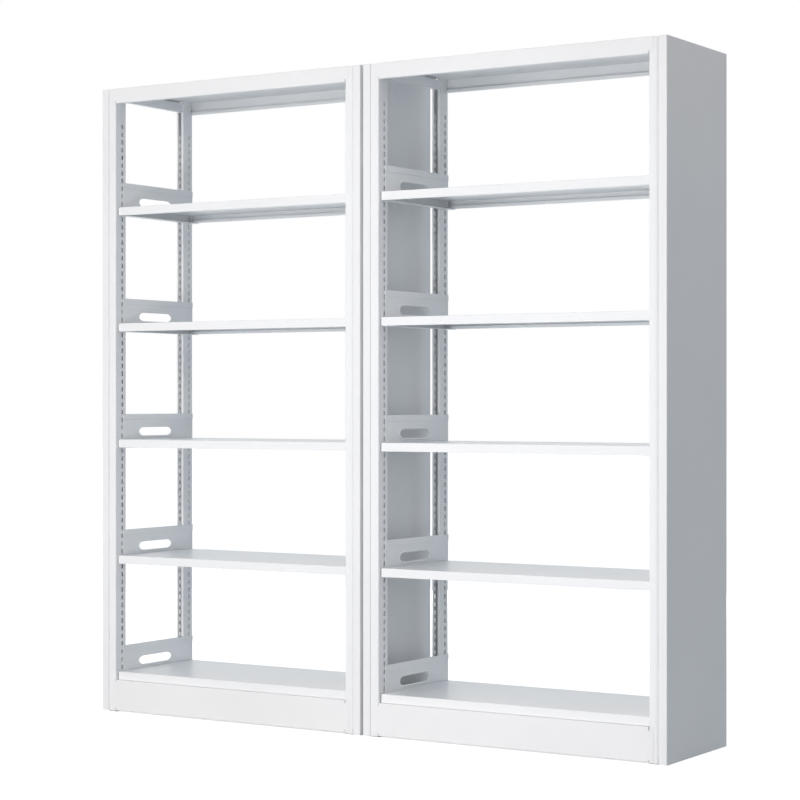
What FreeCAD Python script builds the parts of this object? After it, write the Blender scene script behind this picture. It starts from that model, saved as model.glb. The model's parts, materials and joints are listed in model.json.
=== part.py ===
import FreeCAD, Part
import math
import os

# Two open steel library bays standing in a row. Millimetres, +Z up, front towards -Y,
# origin on the floor at the middle of the whole row.

# Overall sizes
HEIGHT = 2012.0
DEPTH = 405.0
BAY_WIDTH = 1000.0
BAY_GAP = 10.0

# Sheet thicknesses, outer bend radii and the flats that a quarter turn is drawn with
UPRIGHT_SHEET = 1.5
COVER_SHEET = 1.2
SHELF_SHEET = 1.0
BRACKET_SHEET = 1.5
BEND_RADIUS = 2.5
SHELF_BEND_RADIUS = 1.5
BEND_FLAT_COUNT = 2
CUTOUT_FLAT_COUNT = 3

# Uprights: front ones folded into a box with a seam, rear ones lipped channels open to the front
UPRIGHT_WIDTH = 29.0
UPRIGHT_FLANGE = 50.0
UPRIGHT_BEND_RADIUS = 3.5
UPRIGHT_LIP = 8.0
UPRIGHT_SEAM = 1.0

# Foot plugs pushed into the uprights from below
FOOT_HEIGHT = 3.0
FOOT_PLUG = 14.0
FOOT_CLEARANCE = 0.5

# Hook slots in the inner flanges of the uprights
SLOT_PITCH = 31.25
SLOT_WIDTH = 8.0
SLOT_HEIGHT = 15.0
SLOT_TOP_MARGIN = 105.0
FRONT_SLOT_SETBACK = 33.0
REAR_SLOT_SETBACK = 18.0

# Shelf levels, a whole number of slots apart
LOWEST_SHELF_TOP = 129.0
LEVEL_SLOTS = 12
HOOK_SLOT_ABOVE_SHELF = 43.75
TOP_HEADROOM = 300.0

# Shelf boards: inverted trays with triple-bent long edges
SHELF_FLANGE = 26.0
SHELF_RETURN = 13.0
SHELF_UPTURN = 9.0
SHELF_SETBACK = 10.0
SHELF_END_CLEARANCE = 2.0

# Brackets with a long hand slot, hooked into the uprights
BRACKET_RISE = 82.0
BRACKET_HEM = 18.0
BRACKET_LEDGE = 30.0
BRACKET_END_SETBACK = 2.0
HAND_SLOT_LENGTH = 169.0
HAND_SLOT_HEIGHT = 29.0
HAND_SLOT_END = 24.0
HAND_SLOT_ABOVE_SHELF = 25.0
HOOK_NECK = 5.0
HOOK_DROP = 6.0
HOOK_THICKNESS = 3.0
HOOK_CLEARANCE = 0.4
HOOK_SIDE_PLAY = 1.5

# End rails between the front and rear uprights
RAIL_HEIGHT = 30.0
RAIL_FLANGE = 14.0
RAIL_TOP_GAP = 8.0
RAIL_FOOT_GAP = 10.0

# Top panel and kick plates, with ears that lap over the faces of the uprights
FASCIA_HEIGHT = 48.0
REAR_FASCIA_HEIGHT = 43.0
FASCIA_RETURN = 14.0
FASCIA_UPTURN = 9.0
EAR_CORNER = 8.0
EAR_LAP = 14.0
EAR_RELIEF_WIDTH = 3.0
EAR_RELIEF_HEIGHT = 9.0
COVER_END_CLEARANCE = 1.0
KICK_RETURN = 16.0
KICK_FLOOR_GAP = 1.0
KICK_SHELF_GAP = 0.5

# Side panel on the right end and edge trim on the left end of each bay
END_WIDTH = 26.0
PANEL_LIP = 14.0
TRIM_DEPTH = 28.0

# Hexagonal spacer bars between the two bays
SPACER_ACROSS_FLATS = 13.0
SPACER_END_DISTANCE = 13.0

# Places that follow from the sizes above, for a bay centred on x = 0
front_plane = -DEPTH / 2
upright_front = front_plane + COVER_SHEET
upright_open = upright_front + UPRIGHT_FLANGE
upright_outer = BAY_WIDTH / 2 - END_WIDTH
upright_inner = upright_outer - UPRIGHT_WIDTH
upright_top = HEIGHT - COVER_SHEET
front_column = upright_front + FRONT_SLOT_SETBACK
rear_column = -upright_front - REAR_SLOT_SETBACK
front_hook = front_column + SLOT_WIDTH / 2 - HOOK_SIDE_PLAY - BRACKET_SHEET
first_slot = LOWEST_SHELF_TOP + HOOK_SLOT_ABOVE_SHELF
slot_count = int((upright_top - SLOT_TOP_MARGIN - first_slot) // SLOT_PITCH) + 1
level_pitch = LEVEL_SLOTS * SLOT_PITCH
highest_level = HEIGHT - FASCIA_HEIGHT - TOP_HEADROOM
level_count = int((highest_level - LOWEST_SHELF_TOP) // level_pitch) + 1
cover_half = upright_inner - COVER_END_CLEARANCE
ear_end = upright_inner + EAR_LAP
bay_shift = (BAY_WIDTH + BAY_GAP) / 2


def vec(x, y, z):
    return FreeCAD.Vector(x, y, z)


def on_floor(u, v):
    return vec(u, v, 0)


def on_side(u, v):
    return vec(0, u, v)


def on_front(u, v):
    return vec(u, 0, v)


def box(x0, x1, y0, y1, z0, z1):
    return Part.makeBox(x1 - x0, y1 - y0, z1 - z0, vec(x0, y0, z0))


def mirrored_x(shape):
    return shape.mirror(vec(0, 0, 0), vec(1, 0, 0))


def mirrored_y(shape):
    return shape.mirror(vec(0, 0, 0), vec(0, 1, 0))


def unit(a, b):
    length = math.hypot(b[0] - a[0], b[1] - a[1])
    return ((b[0] - a[0]) / length, (b[1] - a[1]) / length)


def corner_arc(before, corner, after, radius, flats):
    """Points of the arc that rounds a corner."""
    if radius <= 0:
        return [corner]
    back = unit(corner, before)
    ahead = unit(corner, after)
    half_angle = math.acos(back[0] * ahead[0] + back[1] * ahead[1]) / 2
    inward = unit((0, 0), (back[0] + ahead[0], back[1] + ahead[1]))
    reach = radius / math.sin(half_angle)
    middle = math.atan2(-inward[1], -inward[0])
    half_turn = math.copysign(math.pi / 2 - half_angle, ahead[0] * back[1] - ahead[1] * back[0])
    points = []
    for k in range(flats + 1):
        angle = middle + half_turn * (2 * k / flats - 1)
        points.append((corner[0] + inward[0] * reach + radius * math.cos(angle),
                       corner[1] + inward[1] * reach + radius * math.sin(angle)))
    return points


def polygon(points, plane):
    """Closed face through the points, where neighbours that coincide count once."""
    corners = []
    for u, v in points:
        place = plane(u, v)
        if not corners or not place.isEqual(corners[-1], 1e-6):
            corners.append(place)
    if corners[0].isEqual(corners[-1], 1e-6):
        corners.pop()
    return Part.Face(Part.makePolygon(corners + corners[:1]))


def outline(points, radii, flats, plane):
    """Closed face through the points, each corner rounded with its own radius."""
    rounded = []
    for i, point in enumerate(points):
        after = points[(i + 1) % len(points)]
        rounded += corner_arc(points[i - 1], point, after, radii[i], flats)
    return polygon(rounded, plane)


def folded(line, sheet, bends, plane):
    """Section of a bent sheet: the line is its outer face, with a radius for each of its bends,
    and the sheet lies to its left."""
    last = len(line) - 1
    normals = []
    for i in range(last):
        along = unit(line[i], line[i + 1])
        normals.append((-along[1], along[0]))
    offset = []
    for i, point in enumerate(line):
        before = normals[max(i - 1, 0)]
        after = normals[min(i, last - 1)]
        share = sheet / (1 + before[0] * after[0] + before[1] * after[1])
        offset.append((point[0] + (before[0] + after[0]) * share,
                       point[1] + (before[1] + after[1]) * share))
    radii = [0.0] + bends + [0.0] * (last + 2)
    return outline(line + offset[::-1], radii, BEND_FLAT_COUNT, plane)


def prism(face, shift, run):
    """The section moved to its start and drawn out along its run."""
    face.translate(shift)
    return face.extrude(run)


def tray_line(front, rear, top, front_drop, rear_drop, hem, upturn):
    """Outer line of a tray with hemmed long edges, from its rear edge to its front edge."""
    return [(rear - hem, top - rear_drop + upturn), (rear - hem, top - rear_drop),
            (rear, top - rear_drop), (rear, top), (front, top), (front, top - front_drop),
            (front + hem, top - front_drop), (front + hem, top - front_drop + upturn)]


def front_upright():
    """Front upright of the right end, before its slots: a box whose seam is beside the inner flange."""
    seam = upright_inner + UPRIGHT_SHEET + UPRIGHT_SEAM
    line = [(upright_inner, upright_open), (upright_inner, upright_front),
            (upright_outer, upright_front), (upright_outer, upright_open), (seam, upright_open)]
    section = folded(line, UPRIGHT_SHEET, [UPRIGHT_BEND_RADIUS] * 2 + [0.0], on_floor)
    return prism(section, vec(0, 0, FOOT_HEIGHT), vec(0, 0, upright_top - FOOT_HEIGHT))


def rear_upright():
    """Rear upright of the right end, before its slots: a channel with a lip on each flange."""
    line = [(upright_outer - UPRIGHT_LIP, -upright_open), (upright_outer, -upright_open),
            (upright_outer, -upright_front), (upright_inner, -upright_front),
            (upright_inner, -upright_open), (upright_inner + UPRIGHT_LIP, -upright_open)]
    section = folded(line, UPRIGHT_SHEET, [0.0] + [UPRIGHT_BEND_RADIUS] * 2 + [0.0], on_floor)
    return prism(section, vec(0, 0, FOOT_HEIGHT), vec(0, 0, upright_top - FOOT_HEIGHT))


def slotted(post, column):
    """The upright with a column of hook slots through its inner flange."""
    cutters = []
    for k in range(slot_count):
        middle = first_slot + k * SLOT_PITCH
        cutters.append(box(upright_inner - UPRIGHT_SHEET, upright_inner + 2 * UPRIGHT_SHEET,
                           column - SLOT_WIDTH / 2, column + SLOT_WIDTH / 2,
                           middle - SLOT_HEIGHT / 2, middle + SLOT_HEIGHT / 2))
    return post.cut(Part.makeCompound(cutters))


def end_rail(bottom):
    """Channel of the right end, from the front upright's back to the rear upright's lips."""
    web = upright_inner + UPRIGHT_SHEET
    top = bottom + RAIL_HEIGHT
    line = [(web + RAIL_FLANGE, top), (web, top), (web, bottom), (web + RAIL_FLANGE, bottom)]
    section = folded(line, UPRIGHT_SHEET, [0.0, 0.0], on_front)
    return prism(section, vec(0, upright_open, 0), vec(0, -2 * upright_open, 0))


def foot_plug():
    """Foot under the front upright of the right end: a sole and a plug inside the upright."""
    edge = FOOT_CLEARANCE
    wall = UPRIGHT_SHEET + FOOT_CLEARANCE
    sole = box(upright_inner + edge, upright_outer - edge,
               upright_front + edge, upright_open - edge, 0, FOOT_HEIGHT)
    plug = box(upright_inner + wall, upright_outer - wall,
               upright_front + wall, upright_open - wall, FOOT_HEIGHT, FOOT_HEIGHT + FOOT_PLUG)
    return sole.fuse(plug)


def ear(low, high, corner, relieved_top):
    """Plate over the face of the right front upright, with bend reliefs at its root."""
    clear = cover_half + EAR_RELIEF_WIDTH
    points = [(cover_half, low + EAR_RELIEF_HEIGHT), (clear, low + EAR_RELIEF_HEIGHT),
              (clear, low), (ear_end, low), (ear_end, high)]
    if relieved_top:
        points += [(clear, high), (clear, high - EAR_RELIEF_HEIGHT), (cover_half, high - EAR_RELIEF_HEIGHT)]
    else:
        points += [(cover_half, high)]
    radii = [0.0] * len(points)
    radii[3] = corner
    section = outline(points, radii, BEND_FLAT_COUNT, on_front)
    return prism(section, vec(0, front_plane, 0), vec(0, COVER_SHEET, 0))


def top_panel():
    """Tray over the uprights, hemmed between them, lapped over their faces and lipped at its ends."""
    line = tray_line(front_plane, -front_plane, HEIGHT, FASCIA_HEIGHT, REAR_FASCIA_HEIGHT,
                     FASCIA_RETURN, FASCIA_UPTURN)
    tray = prism(folded(line, COVER_SHEET, [0.0] + [BEND_RADIUS] * 4 + [0.0], on_side),
                 vec(-cover_half, 0, 0), vec(2 * cover_half, 0, 0))
    shoulder = HEIGHT - EAR_CORNER
    cap_line = [(-front_plane, shoulder), (-front_plane, HEIGHT),
                (front_plane, HEIGHT), (front_plane, shoulder)]
    cap = prism(folded(cap_line, COVER_SHEET, [BEND_RADIUS] * 2, on_side),
                vec(cover_half, 0, 0), vec(ear_end - cover_half, 0, 0))
    front_ear = ear(HEIGHT - FASCIA_HEIGHT, shoulder, EAR_CORNER, False)
    rear_ear = mirrored_y(ear(HEIGHT - REAR_FASCIA_HEIGHT, shoulder, EAR_CORNER, False))
    lip_end = -upright_open - COVER_END_CLEARANCE
    lip = box(ear_end - COVER_SHEET, ear_end, -lip_end, lip_end,
              HEIGHT - RAIL_TOP_GAP + COVER_END_CLEARANCE, HEIGHT - COVER_SHEET)
    end = cap.fuse([front_ear, rear_ear, lip])
    return tray.fuse([end, mirrored_x(end)]).removeSplitter()


def kick_plate(shelf_gap):
    """Front kick plate, returned at top and bottom between the uprights."""
    top = LOWEST_SHELF_TOP - SHELF_FLANGE - shelf_gap
    bottom = FOOT_HEIGHT + KICK_FLOOR_GAP
    back = front_plane + KICK_RETURN
    line = [(back, top), (front_plane, top), (front_plane, bottom), (back, bottom)]
    channel = prism(folded(line, COVER_SHEET, [BEND_RADIUS] * 2, on_side),
                    vec(-cover_half, 0, 0), vec(2 * cover_half, 0, 0))
    end = ear(bottom, top, 0.0, True)
    return channel.fuse([end, mirrored_x(end)]).removeSplitter()


def side_panel():
    """Hollow panel over the right end: skin, front and rear returns, lips and end plates."""
    outer = BAY_WIDTH / 2
    line = [(upright_outer, front_plane + PANEL_LIP), (upright_outer, front_plane),
            (outer, front_plane), (outer, -front_plane),
            (upright_outer, -front_plane), (upright_outer, -front_plane - PANEL_LIP)]
    shell = folded(line, COVER_SHEET, [BEND_RADIUS] * 4, on_floor).extrude(vec(0, 0, HEIGHT))
    plate = box(upright_outer, outer - COVER_SHEET, upright_front, -upright_front, 0, COVER_SHEET)
    upper = plate.translated(vec(0, 0, HEIGHT - COVER_SHEET))
    return shell.fuse([plate, upper]).removeSplitter()


def edge_trim():
    """Channel that closes the front edge of the left end."""
    outer = -BAY_WIDTH / 2
    rear = front_plane + TRIM_DEPTH
    line = [(outer, rear), (outer, front_plane), (-upright_outer, front_plane), (-upright_outer, rear)]
    section = folded(line, COVER_SHEET, [BEND_RADIUS] * 2, on_floor)
    return prism(section, vec(0, 0, FOOT_HEIGHT), vec(0, 0, HEIGHT - FOOT_HEIGHT))


def shelf_board():
    """Shelf with its top face at z = 0."""
    front = upright_front + SHELF_SETBACK
    half = upright_inner - BRACKET_SHEET - SHELF_END_CLEARANCE
    line = tray_line(front, -front, 0, SHELF_FLANGE, SHELF_FLANGE, SHELF_RETURN, SHELF_UPTURN)
    bends = [0.0, 0.0, SHELF_BEND_RADIUS, SHELF_BEND_RADIUS, 0.0, 0.0]
    board = prism(folded(line, SHELF_SHEET, bends, on_side), vec(-half, 0, 0), vec(2 * half, 0, 0))
    inner = front + SHELF_RETURN
    end = box(half - SHELF_SHEET, half, inner, -inner, -SHELF_FLANGE, -SHELF_SHEET)
    return board.fuse([end, mirrored_x(end)]).removeSplitter()


def hook(start):
    """Hook that passes through a slot and drops behind the flange, its near face at y = start."""
    seat = HOOK_SLOT_ABOVE_SHELF - SLOT_HEIGHT / 2
    root = upright_inner - BRACKET_SHEET
    behind = upright_inner + UPRIGHT_SHEET + HOOK_CLEARANCE
    tip = behind + HOOK_THICKNESS
    points = [(root, seat), (behind, seat), (behind, seat - HOOK_DROP), (tip, seat - HOOK_DROP),
              (tip, seat + HOOK_NECK), (root, seat + HOOK_NECK)]
    section = polygon(points, on_front)
    return prism(section, vec(0, start, 0), vec(0, BRACKET_SHEET, 0))


def hand_slot():
    """Cutter for the long hand slot with half ellipses as ends, for a shelf whose top face is at z = 0."""
    straight = HAND_SLOT_LENGTH / 2 - HAND_SLOT_END
    points = []
    for middle, start in ((straight, -math.pi / 2), (-straight, math.pi / 2)):
        for k in range(2 * CUTOUT_FLAT_COUNT + 1):
            angle = start + math.pi * k / (2 * CUTOUT_FLAT_COUNT)
            points.append((middle + HAND_SLOT_END * math.cos(angle),
                           HAND_SLOT_ABOVE_SHELF + HAND_SLOT_HEIGHT / 2 * math.sin(angle)))
    section = polygon(points, on_side)
    return prism(section, vec(upright_inner - 3 * BRACKET_SHEET, 0, 0), vec(4 * BRACKET_SHEET, 0, 0))


def bracket():
    """Right bracket for a shelf whose top face is at z = 0: ledge, plate, hem and hooks."""
    low = -SHELF_FLANGE - BRACKET_SHEET
    hem_low = BRACKET_RISE - BRACKET_HEM
    ledge_end = upright_inner - BRACKET_LEDGE
    plate_face = upright_inner - BRACKET_SHEET
    hem_face = upright_inner - 2 * BRACKET_SHEET
    section = polygon([(ledge_end, low), (upright_inner, low), (upright_inner, BRACKET_RISE),
                       (hem_face, BRACKET_RISE), (hem_face, hem_low), (plate_face, hem_low),
                       (plate_face, -SHELF_FLANGE), (ledge_end, -SHELF_FLANGE)], on_front)
    end = -upright_front - BRACKET_END_SETBACK
    plate = prism(section, vec(0, front_hook, 0), vec(0, end - front_hook, 0)).cut(hand_slot())
    rear_hook = rear_column - BRACKET_SHEET / 2
    return plate.fuse([hook(front_hook), hook(rear_hook)]).removeSplitter()


def spacer_bars():
    """Bars from the left bay's side panel to the right bay's left uprights."""
    corner = SPACER_ACROSS_FLATS / 2 / math.cos(math.pi / 6)
    ring = [(corner * math.cos(k * math.pi / 3), corner * math.sin(k * math.pi / 3)) for k in range(6)]
    bar = prism(polygon(ring, on_side), vec(-BAY_GAP / 2, 0, 0), vec(BAY_GAP + END_WIDTH, 0, 0))
    middle = upright_front + (TRIM_DEPTH + UPRIGHT_FLANGE) / 2
    bars = []
    for y in (middle, -middle):
        for z in (SPACER_END_DISTANCE, HEIGHT - SPACER_END_DISTANCE):
            bars.append(bar.translated(vec(0, y, z)))
    return bars


def bay_pieces():
    """Every piece of a bay centred on x = 0, by name."""
    front = slotted(front_upright(), front_column)
    rear = slotted(rear_upright(), rear_column)
    top_rail = end_rail(HEIGHT - RAIL_TOP_GAP - RAIL_HEIGHT)
    bottom_rail = end_rail(FOOT_HEIGHT + FOOT_PLUG + RAIL_FOOT_GAP)
    pieces = {"top_panel": top_panel(), "front_kick_plate": kick_plate(KICK_SHELF_GAP),
              "rear_kick_plate": mirrored_y(kick_plate(BRACKET_SHEET)),
              "side_panel": side_panel(), "edge_trim": edge_trim()}
    for name, piece in (("front_upright", front), ("rear_upright", rear),
                        ("top_rail", top_rail), ("bottom_rail", bottom_rail)):
        pieces["right_" + name] = piece
        pieces["left_" + name] = mirrored_x(piece)
    board = shelf_board()
    support = bracket()
    for level in range(level_count):
        up = vec(0, 0, LOWEST_SHELF_TOP + level * level_pitch)
        pieces["shelf_%d" % (level + 1)] = board.translated(up)
        pieces["right_bracket_%d" % (level + 1)] = support.translated(up)
        pieces["left_bracket_%d" % (level + 1)] = mirrored_x(support).translated(up)
    return pieces


def all_feet():
    """The foot plugs of both bays."""
    feet = []
    for shift in (-bay_shift, bay_shift):
        for foot in (foot_plug(), mirrored_x(foot_plug())):
            feet.append(foot.translated(vec(shift, 0, 0)))
            feet.append(mirrored_y(foot).translated(vec(shift, 0, 0)))
    return feet


def main():
    os.makedirs("parts", exist_ok=True)
    for bay, shift in (("left_bay", -bay_shift), ("right_bay", bay_shift)):
        for name, piece in bay_pieces().items():
            piece.translated(vec(shift, 0, 0)).exportStep("parts/%s_%s.step" % (bay, name))
    Part.makeCompound(all_feet()).exportStep("parts/foot_plugs.step")
    Part.makeCompound(spacer_bars()).exportStep("parts/bay_spacers.step")


main()
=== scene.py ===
import json
import math

import bmesh
import bpy
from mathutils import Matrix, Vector


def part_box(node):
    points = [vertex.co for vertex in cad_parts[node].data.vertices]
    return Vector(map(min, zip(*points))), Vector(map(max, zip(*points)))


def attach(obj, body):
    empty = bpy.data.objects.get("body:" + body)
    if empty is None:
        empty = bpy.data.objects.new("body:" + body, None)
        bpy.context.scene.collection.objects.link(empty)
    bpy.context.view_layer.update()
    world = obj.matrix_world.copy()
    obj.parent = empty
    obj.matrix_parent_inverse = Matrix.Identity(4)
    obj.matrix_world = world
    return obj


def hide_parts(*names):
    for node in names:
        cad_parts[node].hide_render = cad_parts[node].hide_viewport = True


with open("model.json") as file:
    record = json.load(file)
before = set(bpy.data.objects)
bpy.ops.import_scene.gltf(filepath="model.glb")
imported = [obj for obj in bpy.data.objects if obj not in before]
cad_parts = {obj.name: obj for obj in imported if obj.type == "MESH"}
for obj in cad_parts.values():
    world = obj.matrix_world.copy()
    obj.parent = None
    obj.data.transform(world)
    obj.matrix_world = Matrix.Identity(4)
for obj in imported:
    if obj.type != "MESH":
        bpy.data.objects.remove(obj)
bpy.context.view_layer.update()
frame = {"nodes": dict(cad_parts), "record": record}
nodes = frame["nodes"]

# Camera: level, far off, turned to the left so that the right end shows
CAMERA_PLACE = (3.5882, -5.6645, 1.0064)
CAMERA_AZIMUTH = 32.29
CAMERA_TILT = 90.0
LENS_MM = 98.12
SENSOR_MM = 36.0

# Sky: colours from the front to the back, and what is added from the foot to the zenith
SKY_FRONT_TO_BACK = ((0.0, (0.77, 0.69, 0.65)), (0.5, (0.0, 0.0, 0.0)), (1.0, (0.375, 0.51, 0.605)))
SKY_FOOT_TO_ZENITH = ((0.0, (0.0, 0.0, 0.0)), (0.5, (0.0, 0.0, 0.0)), (1.0, (0.265, 0.315, 0.36)))

# Lamps: name, place, target, width, height, watts, colour
LAMPS = (
    ("key", (-2.4, -4.6, 1.3), (-0.5, 0.0, 1.0), 2.4, 2.2, 63.5, (1.0, 0.963, 0.93)),
    ("fill", (0.92, -0.95, 1.0), (0.1, 0.0, 1.0), 0.25, 2.0, 1.1, (0.97, 0.955, 1.0)),
    ("side", (3.0, -0.5, 3.4), (1.0, 0.0, 1.8), 1.0, 1.0, 8.6, (1.0, 0.80, 0.69)),
    ("low", (0.5, -3.4, 0.2), (0.2, 0.0, 1.7), 1.6, 0.4, 27.8, (0.935, 0.97, 1.0)),
    ("back", (-2.4, 4.2, 1.2), (-0.1, 0.0, 1.0), 2.4, 2.2, 70.0, (1.0, 0.93, 0.87)),
    ("high", (0.4, -2.6, 2.3), (0.1, 0.0, 1.2), 2.0, 0.5, 8.8, (1.0, 1.0, 0.985)),
)

# Floor: its reach, the colour that lights the object, and what the camera sees
FLOOR_HALF = 30.0
FLOOR_BOUNCE = (0.49, 0.515, 0.54)
FLOOR_VEIL = 0.82
FLOOR_GLOW = 0.70

# Paints: slot, material, colour, roughness, specular level
WHITE = (0.876, 0.886, 0.895)
COVER_WHITE = (0.880, 0.886, 0.891)
SPACER_GREY = (0.60, 0.62, 0.64)
FOOT_GREY = (0.50, 0.51, 0.52)
PAINTS = (
    ("frame_paint", "frame_paint_coat", WHITE, 0.32, 0.7),
    ("cover_paint", "cover_paint_coat", COVER_WHITE, 0.45, 0.4),
    ("shelf_paint", "shelf_paint_coat", WHITE, 0.32, 0.8),
    ("bracket_paint", "bracket_paint_coat", WHITE, 0.32, 0.7),
    ("spacer_paint", "spacer_paint_coat", SPACER_GREY, 0.40, 0.5),
    ("foot_plastic", "foot_plastic_skin", FOOT_GREY, 0.55, 0.4),
)

# Powder coat: each noise as scale and detail, what it does, and the part of the noise that is used
CLOUD_NOISE = (3.0, 3.0)
CLOUD_SHADE = 0.97
GLOSS_NOISE = (40.0, 4.0)
GLOSS_SPREAD = 0.04
PEEL_NOISE = (900.0, 2.0)
PEEL_STRENGTH = 0.06
PEEL_DEPTH = 0.0002
NOISE_LOW = 0.3
NOISE_HIGH = 0.7

# Uprights: sheet, bends and the hook slots as close together as in the photograph
UPRIGHT_SHEET = 0.0015
UPRIGHT_BEND = 0.0035
PANEL_SIDE_BEND = 0.008
UPRIGHT_LIP = 0.008
UPRIGHT_SEAM = 0.0094
BEND_STEPS = 4
SLOT_PITCH = 0.025
SLOT_WIDTH = 0.008
OUTER_SLOT_WIDTH = 0.004
SLOT_HEIGHT = 0.015
SLOT_CORNER = 0.0015
SLOT_CORNER_STEPS = 2
SLOT_BORDER = 0.002
SLOT_ABOVE_SHELF = 0.0125
SLOT_TOP_MARGIN = 0.105
FRONT_SLOT_SETBACK = 0.033
REAR_SLOT_SETBACK = 0.018

# Pressed rims round the hand slots of the brackets
HAND_SLOT_LENGTH = 0.169
HAND_SLOT_HEIGHT = 0.029
HAND_SLOT_END = 0.024
HAND_SLOT_ABOVE_SHELF = 0.025
BRACKET_SHEET = 0.0015
RIM_WIDTH = 0.006
RIM_HEIGHT = 0.0014
RIM_INSET = 0.0009
RIM_SINK = 0.0002
RIM_TURN_STEPS = 14

# Swell of a rim as shares of its width and height, and the height where its inner wall begins
RIM_SWELL = ((0.75, 0.55), (0.45, 1.0), (0.1, 0.9))
RIM_THROAT = 0.2

# Rounding of the sheet edges of the carried-over nodes, and smooth shading of the new pieces
EDGE_ROUND = 0.0004
EDGE_ANGLE = 60.0
EDGE_SEGMENTS = 2
WELD_DISTANCE = 0.00001
SMOOTH_ANGLE = 35.0

# Turns in degrees
QUARTER_TURN = 90.0
HALF_TURN = 180.0


def opaque(colour):
    return tuple(colour) + (1.0,)


def grey(value):
    return opaque((value, value, value))


def new_material(name):
    """A node material with its shader and a coordinate in metres."""
    material = bpy.data.materials.new(name)
    material.use_nodes = True
    tree = material.node_tree
    shader = tree.nodes["Principled BSDF"]
    place = tree.nodes.new("ShaderNodeTexCoord").outputs["Object"]
    return material, tree, shader, place


def noise(tree, place, scale, detail):
    texture = tree.nodes.new("ShaderNodeTexNoise")
    texture.inputs["Scale"].default_value = scale
    texture.inputs["Detail"].default_value = detail
    tree.links.new(place, texture.inputs["Vector"])
    return texture.outputs["Fac"]


def ramp(tree, source, low, high):
    """The source stretched between two colours or greys."""
    node = tree.nodes.new("ShaderNodeValToRGB")
    first, last = node.color_ramp.elements
    first.position = NOISE_LOW
    last.position = NOISE_HIGH
    first.color = low
    last.color = high
    tree.links.new(source, node.inputs["Fac"])
    return node.outputs["Color"]


def powder_coat(name, colour, roughness, specular):
    """Satin powder coat: a fine orange peel, faint cloudiness and uneven gloss."""
    material, tree, shader, place = new_material(name)
    cloud = noise(tree, place, *CLOUD_NOISE)
    shaded = opaque(c * CLOUD_SHADE for c in colour)
    tint = ramp(tree, cloud, shaded, opaque(colour))
    tree.links.new(tint, shader.inputs["Base Color"])
    gloss = noise(tree, place, *GLOSS_NOISE)
    sheen = ramp(tree, gloss, grey(roughness - GLOSS_SPREAD), grey(roughness + GLOSS_SPREAD))
    tree.links.new(sheen, shader.inputs["Roughness"])
    peel = tree.nodes.new("ShaderNodeBump")
    peel.inputs["Strength"].default_value = PEEL_STRENGTH
    peel.inputs["Distance"].default_value = PEEL_DEPTH
    tree.links.new(noise(tree, place, *PEEL_NOISE), peel.inputs["Height"])
    tree.links.new(peel.outputs["Normal"], shader.inputs["Normal"])
    shader.inputs["Specular IOR Level"].default_value = specular
    return material


def make_paints():
    return {slot: powder_coat(*look) for slot, *look in PAINTS}


def weld(node, name):
    """Merge points that lie on each other."""
    modifier = node.modifiers.new(name, "WELD")
    modifier.merge_threshold = WELD_DISTANCE


def round_edges(node):
    """Join the triangles of a carried-over node and take the sharpness off its sheet edges."""
    weld(node, "weld")
    edges = node.modifiers.new("edges", "BEVEL")
    edges.width = EDGE_ROUND
    edges.segments = EDGE_SEGMENTS
    edges.limit_method = "ANGLE"
    edges.angle_limit = math.radians(EDGE_ANGLE)
    weld(node, "weld_corners")


def dress_cad(paints):
    """Give every CAD node its paint and its rounded edges."""
    for part in frame["record"]["subparts"]:
        node = nodes[part["node"]]
        node.data.materials.clear()
        node.data.materials.append(paints[part["material_slot"]])
        round_edges(node)


def new_piece(name, shape, paint):
    """A finished bmesh as a piece that rides on the frame."""
    bmesh.ops.recalc_face_normals(shape, faces=shape.faces)
    mesh = bpy.data.meshes.new(name)
    shape.to_mesh(mesh)
    shape.free()
    mesh.shade_smooth()
    mesh.set_sharp_from_angle(angle=math.radians(SMOOTH_ANGLE))
    mesh.materials.append(paint)
    piece = bpy.data.objects.new(name, mesh)
    bpy.context.scene.collection.objects.link(piece)
    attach(piece, "frame")
    return piece


def at_right_end(name):
    """Whether a node belongs to the right end of its bay."""
    return name.split("_bay_")[1].startswith("right_")


def quarter(middle, radius, start, steps):
    """Points of a quarter arc, its start in degrees."""
    points = []
    for k in range(steps + 1):
        angle = math.radians(start + QUARTER_TURN * k / steps)
        points.append((middle[0] + radius * math.cos(angle), middle[1] + radius * math.sin(angle)))
    return points


def bend_pairs(middle, radius, start):
    """Outer and inner points of a quarter bend."""
    outer = quarter(middle, radius, start, BEND_STEPS)
    inner = quarter(middle, radius - UPRIGHT_SHEET, start, BEND_STEPS)
    return list(zip(outer, inner))


def flange(u, inside, column, slot_width):
    """Pairs of points on both sides of a slot column in a flange, from the web outwards."""
    half = slot_width / 2 + SLOT_BORDER
    return [((u, v), (inside, v)) for v in (column - half, column + half)]


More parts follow.
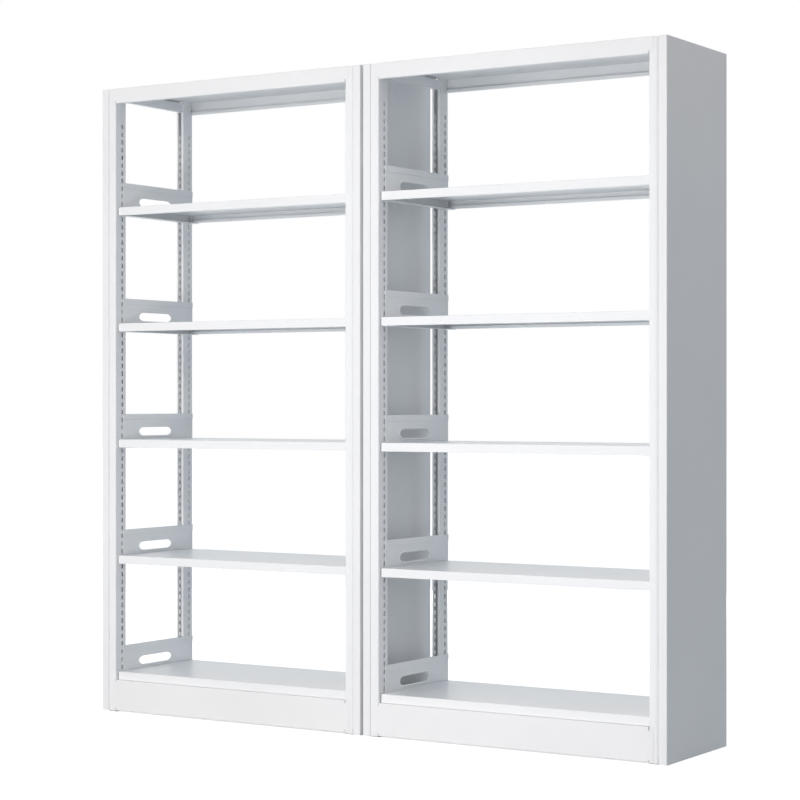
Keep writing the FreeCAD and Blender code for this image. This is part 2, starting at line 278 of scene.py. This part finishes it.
def upright_section(width, depth, inner_column, outer_column, boxed, outer_bend):
    """Pairs of outer and inner points round an upright, from the edge of its inner flange to the edge
    of its outer one, with the slot width of each stretch that holds slots. The first coordinate runs
    from the inner to the outer flange, the second from the web to the other side."""
    sheet = UPRIGHT_SHEET
    bend = UPRIGHT_BEND
    if boxed:
        pairs = [((0.0, depth), (sheet, depth))]
        reach = width - sheet - UPRIGHT_SEAM
    else:
        pairs = [((UPRIGHT_LIP, depth), (UPRIGHT_LIP, depth - sheet))]
        pairs += bend_pairs((bend, depth - bend), bend, QUARTER_TURN)
        reach = UPRIGHT_LIP
    slots = {len(pairs): SLOT_WIDTH}
    pairs += flange(0.0, sheet, inner_column, SLOT_WIDTH)[::-1]
    pairs += bend_pairs((bend, bend), bend, 2 * QUARTER_TURN)
    pairs += bend_pairs((width - outer_bend, outer_bend), outer_bend, 3 * QUARTER_TURN)
    slots[len(pairs)] = OUTER_SLOT_WIDTH
    pairs += flange(width, width - sheet, outer_column, OUTER_SLOT_WIDTH)
    pairs += bend_pairs((width - bend, depth - bend), bend, 0.0)
    pairs.append(((width - reach, depth), (width - reach, depth - sheet)))
    return pairs, slots


def slot_levels(low, high):
    """Heights that part an upright into a foot, a cell for each slot and a head."""
    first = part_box("left_bay_shelf_1")[1].z + SLOT_ABOVE_SHELF
    slot_count = int((high - SLOT_TOP_MARGIN - first) // SLOT_PITCH) + 1
    return [low] + [first + (k - 0.5) * SLOT_PITCH for k in range(slot_count + 1)] + [high]


def slot_loop(width):
    """Points of a slot round its middle, as four corner turns of (across, up)."""
    half_width = width / 2 - SLOT_CORNER
    half_height = SLOT_HEIGHT / 2 - SLOT_CORNER
    loop = []
    for across, up, turns in ((-1, -1, 2), (1, -1, 3), (1, 1, 0), (-1, 1, 1)):
        middle = (across * half_width, up * half_height)
        loop.append(quarter(middle, SLOT_CORNER, turns * QUARTER_TURN, SLOT_CORNER_STEPS))
    return loop


def pierce(shape, corners, loop):
    """Faces between the four corners of a cell and the four turns of the slot in it."""
    for k, corner in enumerate(corners):
        for a, b in zip(loop[k], loop[k][1:]):
            shape.faces.new((corner, b, a))
        ahead = (k + 1) % len(corners)
        shape.faces.new((corner, corners[ahead], loop[ahead][0], loop[k][-1]))


def cut_slot(shape, vertex, cells, start_pair, end_pair, middle_z, width):
    """Outer and inner faces round a slot, and the walls of the slot between them."""
    loops = []
    for cell, start, end in zip(cells, start_pair, end_pair):
        u = start[0]
        v = (start[1] + end[1]) / 2
        along = 1.0 if end[1] > start[1] else -1.0
        loop = [[vertex((u, v + along * a), middle_z + b) for a, b in corner]
                for corner in slot_loop(width)]
        pierce(shape, cell, loop)
        loops.append([point for corner in loop for point in corner])
    outer, inner = loops
    for k in range(len(outer)):
        shape.faces.new((outer[k], outer[k - 1], inner[k - 1], inner[k]))


def build_upright(name, paint):
    """Slotted upright in the place of a CAD upright."""
    low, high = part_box(name)
    right_end = at_right_end(name)
    front = "_front_" in name
    across = 1.0 if right_end else -1.0
    inward = 1.0 if front else -1.0
    inner_x = low.x if right_end else high.x
    face_y = low.y if front else high.y
    columns = (FRONT_SLOT_SETBACK, REAR_SLOT_SETBACK)
    if not front:
        columns = columns[::-1]
    outer_bend = PANEL_SIDE_BEND if right_end and front else UPRIGHT_BEND
    pairs, slots = upright_section(high.x - low.x, high.y - low.y, *columns, front, outer_bend)
    levels = slot_levels(low.z, high.z)

    shape = bmesh.new()

    def vertex(point, z):
        return shape.verts.new((inner_x + across * point[0], face_y + inward * point[1], z))

    skins = [[[vertex(pair[side], z) for pair in pairs] for z in levels] for side in (0, 1)]
    outer, inner = skins
    last_row = len(levels) - 2
    for row in range(last_row + 1):
        above = row + 1
        for i in range(len(pairs) - 1):
            ahead = i + 1
            cells = [(skin[row][i], skin[row][ahead], skin[above][ahead], skin[above][i]) for skin in skins]
            if i in slots and row not in (0, last_row):
                middle_z = (levels[row] + levels[above]) / 2
                cut_slot(shape, vertex, cells, pairs[i], pairs[ahead], middle_z, slots[i])
                continue
            for cell in cells:
                shape.faces.new(cell)
        for edge in (0, -1):
            shape.faces.new((outer[row][edge], outer[above][edge], inner[above][edge], inner[row][edge]))
    for row in (0, -1):
        for i in range(len(pairs) - 1):
            shape.faces.new((outer[row][i], outer[row][i + 1], inner[row][i + 1], inner[row][i]))
    piece = new_piece(name + "_slotted", shape, paint)
    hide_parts(name)


def build_uprights(paint):
    for name in sorted(nodes):
        if name.endswith("_upright"):
            build_upright(name, paint)


def rim_section():
    """Section of a pressed rim as (distance outwards from the slot's edge, height over the plate)."""
    swell = [(width * RIM_WIDTH, height * RIM_HEIGHT) for width, height in RIM_SWELL]
    inner_wall = [(-RIM_INSET, RIM_THROAT * RIM_HEIGHT), (-RIM_INSET, -BRACKET_SHEET)]
    buried = [(RIM_SINK, -BRACKET_SHEET), (RIM_SINK, -RIM_SINK)]
    return [(RIM_WIDTH, -RIM_SINK)] + swell + inner_wall + buried


def hand_slot_edge():
    """Points (y, z) round the edge of a hand slot about its middle, each with its way outwards."""
    straight = HAND_SLOT_LENGTH / 2 - HAND_SLOT_END
    half_height = HAND_SLOT_HEIGHT / 2
    edge = []
    for middle_y, start in ((straight, -QUARTER_TURN), (-straight, QUARTER_TURN)):
        for k in range(RIM_TURN_STEPS + 1):
            angle = math.radians(start + HALF_TURN * k / RIM_TURN_STEPS)
            y = middle_y + HAND_SLOT_END * math.cos(angle)
            z = half_height * math.sin(angle)
            outward = Vector((half_height * math.cos(angle), HAND_SLOT_END * math.sin(angle))).normalized()
            edge.append((y, z, outward))
    return edge


def build_rim(name, paint):
    """Rim round the hand slot of a bracket, on the face towards the shelf."""
    right_end = at_right_end(name)
    into_bay = -1.0 if right_end else 1.0
    upright_low, upright_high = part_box(name[:name.index("_bracket")] + "_front_upright")
    plate_back = upright_low.x if right_end else upright_high.x
    plate_face = plate_back + into_bay * BRACKET_SHEET
    shelf = name.replace("_left_bracket", "_shelf").replace("_right_bracket", "_shelf")
    middle_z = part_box(shelf)[1].z + HAND_SLOT_ABOVE_SHELF

    shape = bmesh.new()
    rings = []
    for y, z, outward in hand_slot_edge():
        ring = []
        for reach, height in rim_section():
            x = plate_face + into_bay * height
            ring.append(shape.verts.new((x, y + reach * outward.x, middle_z + z + reach * outward.y)))
        rings.append(ring)
    for k in range(len(rings)):
        for i in range(len(rings[k])):
            shape.faces.new((rings[k - 1][i - 1], rings[k - 1][i], rings[k][i], rings[k][i - 1]))
    new_piece(name + "_hand_slot_rim", shape, paint)


def build_rims(paint):
    for name in sorted(nodes):
        if "_bracket_" in name:
            build_rim(name, paint)


def camera_ray_mix(tree, plain, shown):
    """The shader that the camera and mirror rays see, and the plain one for all else."""
    path = tree.nodes.new("ShaderNodeLightPath")
    seen = tree.nodes.new("ShaderNodeMath")
    seen.operation = "MAXIMUM"
    tree.links.new(path.outputs["Is Camera Ray"], seen.inputs[0])
    tree.links.new(path.outputs["Is Glossy Ray"], seen.inputs[1])
    mix = tree.nodes.new("ShaderNodeMixShader")
    tree.links.new(seen.outputs[0], mix.inputs["Fac"])
    tree.links.new(plain, mix.inputs[1])
    tree.links.new(shown, mix.inputs[2])
    return mix.outputs["Shader"]


def floor_white():
    """Floor that is a dull grey to the object and white to the camera."""
    material = bpy.data.materials.new("floor_white")
    material.use_nodes = True
    tree = material.node_tree
    tree.nodes.clear()
    plain = tree.nodes.new("ShaderNodeBsdfDiffuse")
    plain.inputs["Color"].default_value = opaque(FLOOR_BOUNCE)
    veil = tree.nodes.new("ShaderNodeBsdfDiffuse")
    veil.inputs["Color"].default_value = grey(FLOOR_VEIL)
    glow = tree.nodes.new("ShaderNodeEmission")
    glow.inputs["Strength"].default_value = FLOOR_GLOW
    shown = tree.nodes.new("ShaderNodeAddShader")
    tree.links.new(veil.outputs["BSDF"], shown.inputs[0])
    tree.links.new(glow.outputs["Emission"], shown.inputs[1])
    output = tree.nodes.new("ShaderNodeOutputMaterial")
    surface = camera_ray_mix(tree, plain.outputs["BSDF"], shown.outputs["Shader"])
    tree.links.new(surface, output.inputs["Surface"])
    return material


def build_floor():
    half = FLOOR_HALF
    mesh = bpy.data.meshes.new("floor")
    corners = [(-half, -half, 0), (half, -half, 0), (half, half, 0), (-half, half, 0)]
    mesh.from_pydata(corners, [], [(0, 1, 2, 3)])
    mesh.materials.append(floor_white())
    floor = bpy.data.objects.new("floor", mesh)
    bpy.context.scene.collection.objects.link(floor)


def sky_layer(tree, axis, steps):
    """Background whose colour changes along a world axis."""
    direction = tree.nodes.new("ShaderNodeTexCoord").outputs["Generated"]
    split = tree.nodes.new("ShaderNodeSeparateXYZ")
    tree.links.new(direction, split.inputs[0])
    level = tree.nodes.new("ShaderNodeMapRange")
    level.inputs["From Min"].default_value = -1.0
    level.inputs["From Max"].default_value = 1.0
    tree.links.new(split.outputs[axis], level.inputs["Value"])
    shades = tree.nodes.new("ShaderNodeValToRGB")
    for position, _ in steps[1:-1]:
        shades.color_ramp.elements.new(position)
    for element, (position, colour) in zip(shades.color_ramp.elements, steps):
        element.position = position
        element.color = opaque(colour)
    tree.links.new(level.outputs["Result"], shades.inputs["Fac"])
    layer = tree.nodes.new("ShaderNodeBackground")
    tree.links.new(shades.outputs["Color"], layer.inputs["Color"])
    return layer.outputs["Background"]


def build_sky():
    world = bpy.data.worlds.new("studio")
    bpy.context.scene.world = world
    world.use_nodes = True
    tree = world.node_tree
    tree.nodes.clear()
    soft = tree.nodes.new("ShaderNodeAddShader")
    tree.links.new(sky_layer(tree, "Y", SKY_FRONT_TO_BACK), soft.inputs[0])
    tree.links.new(sky_layer(tree, "Z", SKY_FOOT_TO_ZENITH), soft.inputs[1])
    white = tree.nodes.new("ShaderNodeBackground")
    white.inputs["Color"].default_value = grey(1.0)
    output = tree.nodes.new("ShaderNodeOutputWorld")
    surface = camera_ray_mix(tree, soft.outputs["Shader"], white.outputs["Background"])
    tree.links.new(surface, output.inputs["Surface"])


def area_lamp(name, place, target, width, height, watts, colour):
    data = bpy.data.lights.new(name, "AREA")
    data.shape = "RECTANGLE"
    data.size = width
    data.size_y = height
    data.energy = watts
    data.color = colour
    lamp = bpy.data.objects.new(name, data)
    lamp.location = place
    aim = Vector(target) - Vector(place)
    lamp.rotation_euler = aim.to_track_quat("-Z", "Y").to_euler()
    lamp.visible_camera = False
    lamp.visible_glossy = False
    bpy.context.scene.collection.objects.link(lamp)


def build_lights():
    for lamp in LAMPS:
        area_lamp(*lamp)


def build_camera():
    data = bpy.data.cameras.new("camera")
    data.sensor_fit = "HORIZONTAL"
    data.sensor_width = SENSOR_MM
    data.lens = LENS_MM
    camera = bpy.data.objects.new("camera", data)
    camera.location = CAMERA_PLACE
    camera.rotation_euler = (math.radians(CAMERA_TILT), 0.0, math.radians(CAMERA_AZIMUTH))
    bpy.context.scene.collection.objects.link(camera)
    bpy.context.scene.camera = camera


paints = make_paints()
dress_cad(paints)
build_uprights(paints["frame_paint"])
build_rims(paints["bracket_paint"])
build_floor()
build_sky()
build_lights()
build_camera()
bpy.context.scene.view_settings.view_transform = "Standard"
